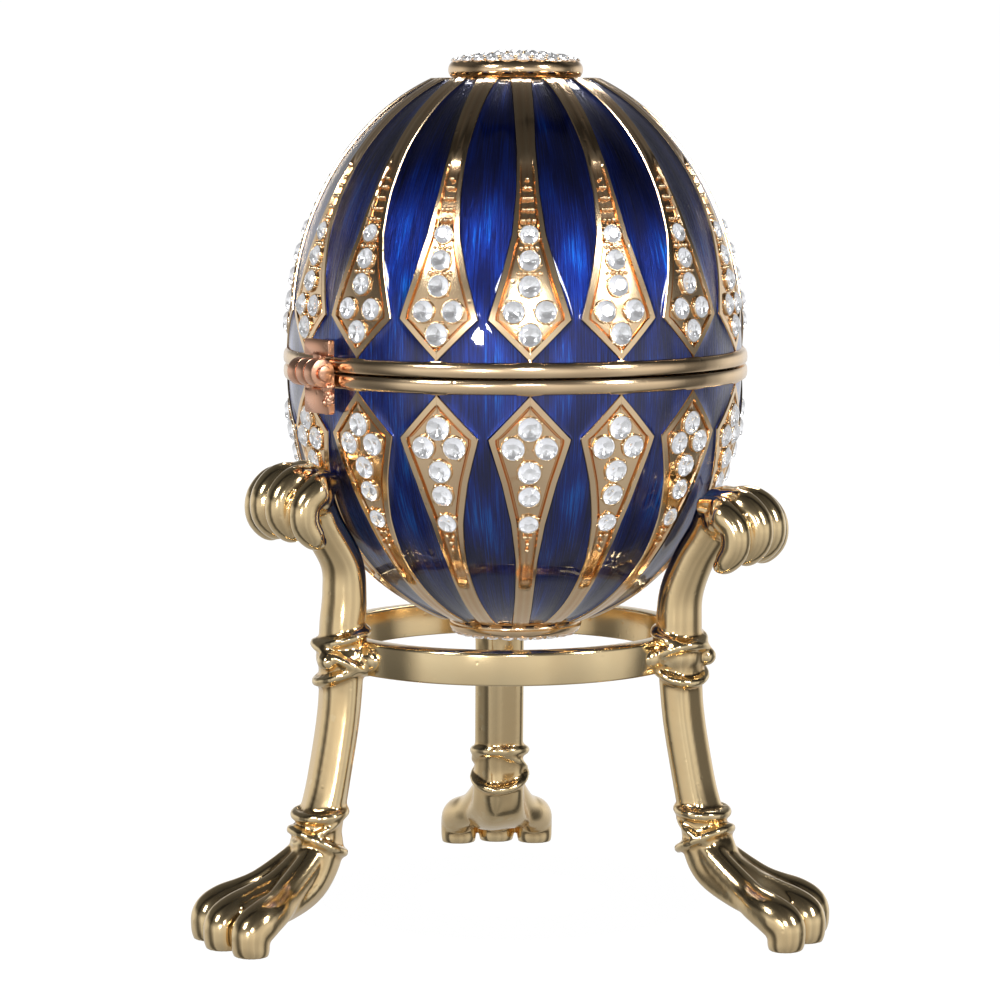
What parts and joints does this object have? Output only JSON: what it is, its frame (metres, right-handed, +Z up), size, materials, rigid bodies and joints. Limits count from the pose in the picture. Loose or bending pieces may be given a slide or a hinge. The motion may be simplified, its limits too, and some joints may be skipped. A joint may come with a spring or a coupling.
{
  "type": "jewelled egg trinket box",
  "caption": "Egg-shaped metal trinket box hinged at its middle, set with crystals and blue enamel, resting in a ring stand on lion legs.",
  "frame": {"origin": "on the ground, in the middle of the object's footprint box; the egg's own axis stands at x 0.3 mm, y -5.65 mm, and the stand's ring is centred at x -0.5 mm", "axes": "+Z up; -Y is the front, between two legs; the third leg reaches back along +Y; the hinge is to the front left"},
  "size_m": [0.0631, 0.0575, 0.0867],
  "materials": {
    "gold_rose": "polished plating, warmer and darker in the recesses",
    "gold_pale": "polished plating",
    "enamel_blue": "glossy translucent enamel over upright engine-turned streaks",
    "crystal": "clear cut stones, close set in a plated rim"
  },
  "bodies": {
    "base": {"base_shell": "gold_rose", "base_enamel_01": "enamel_blue", "base_enamel_02": "enamel_blue", "base_enamel_03": "enamel_blue", "base_enamel_04": "enamel_blue", "base_enamel_05": "enamel_blue", "base_enamel_06": "enamel_blue", "base_enamel_07": "enamel_blue", "base_enamel_08": "enamel_blue", "base_enamel_09": "enamel_blue", "base_enamel_10": "enamel_blue", "base_enamel_11": "enamel_blue", "base_enamel_12": "enamel_blue", "base_enamel_13": "enamel_blue", "base_enamel_14": "enamel_blue", "base_enamel_15": "enamel_blue", "base_enamel_16": "enamel_blue", "bottom_jewel_disc": "crystal", "hinge_leaf_base": "gold_rose", "hinge_pin": "gold_rose", "stand_ring": "gold_pale", "leg_left": "gold_pale", "leg_right": "gold_pale", "leg_back": "gold_pale"},
    "lid": {"lid_shell": "gold_rose", "lid_enamel_01": "enamel_blue", "lid_enamel_02": "enamel_blue", "lid_enamel_03": "enamel_blue", "lid_enamel_04": "enamel_blue", "lid_enamel_05": "enamel_blue", "lid_enamel_06": "enamel_blue", "lid_enamel_07": "enamel_blue", "lid_enamel_08": "enamel_blue", "lid_enamel_09": "enamel_blue", "lid_enamel_10": "enamel_blue", "lid_enamel_11": "enamel_blue", "lid_enamel_12": "enamel_blue", "lid_enamel_13": "enamel_blue", "lid_enamel_14": "enamel_blue", "lid_enamel_15": "enamel_blue", "lid_enamel_16": "enamel_blue", "top_jewel_disc": "crystal", "hinge_leaf_lid": "gold_rose"}
  },
  "joints": [
    {"name": "lid_hinge", "type": "hinge", "parent": "base", "child": "lid", "pos_m": [-0.01928, -0.02054, 0.0556], "axis": [0.6053, -0.796, 0], "range_deg": [0, 100]}
  ]
}
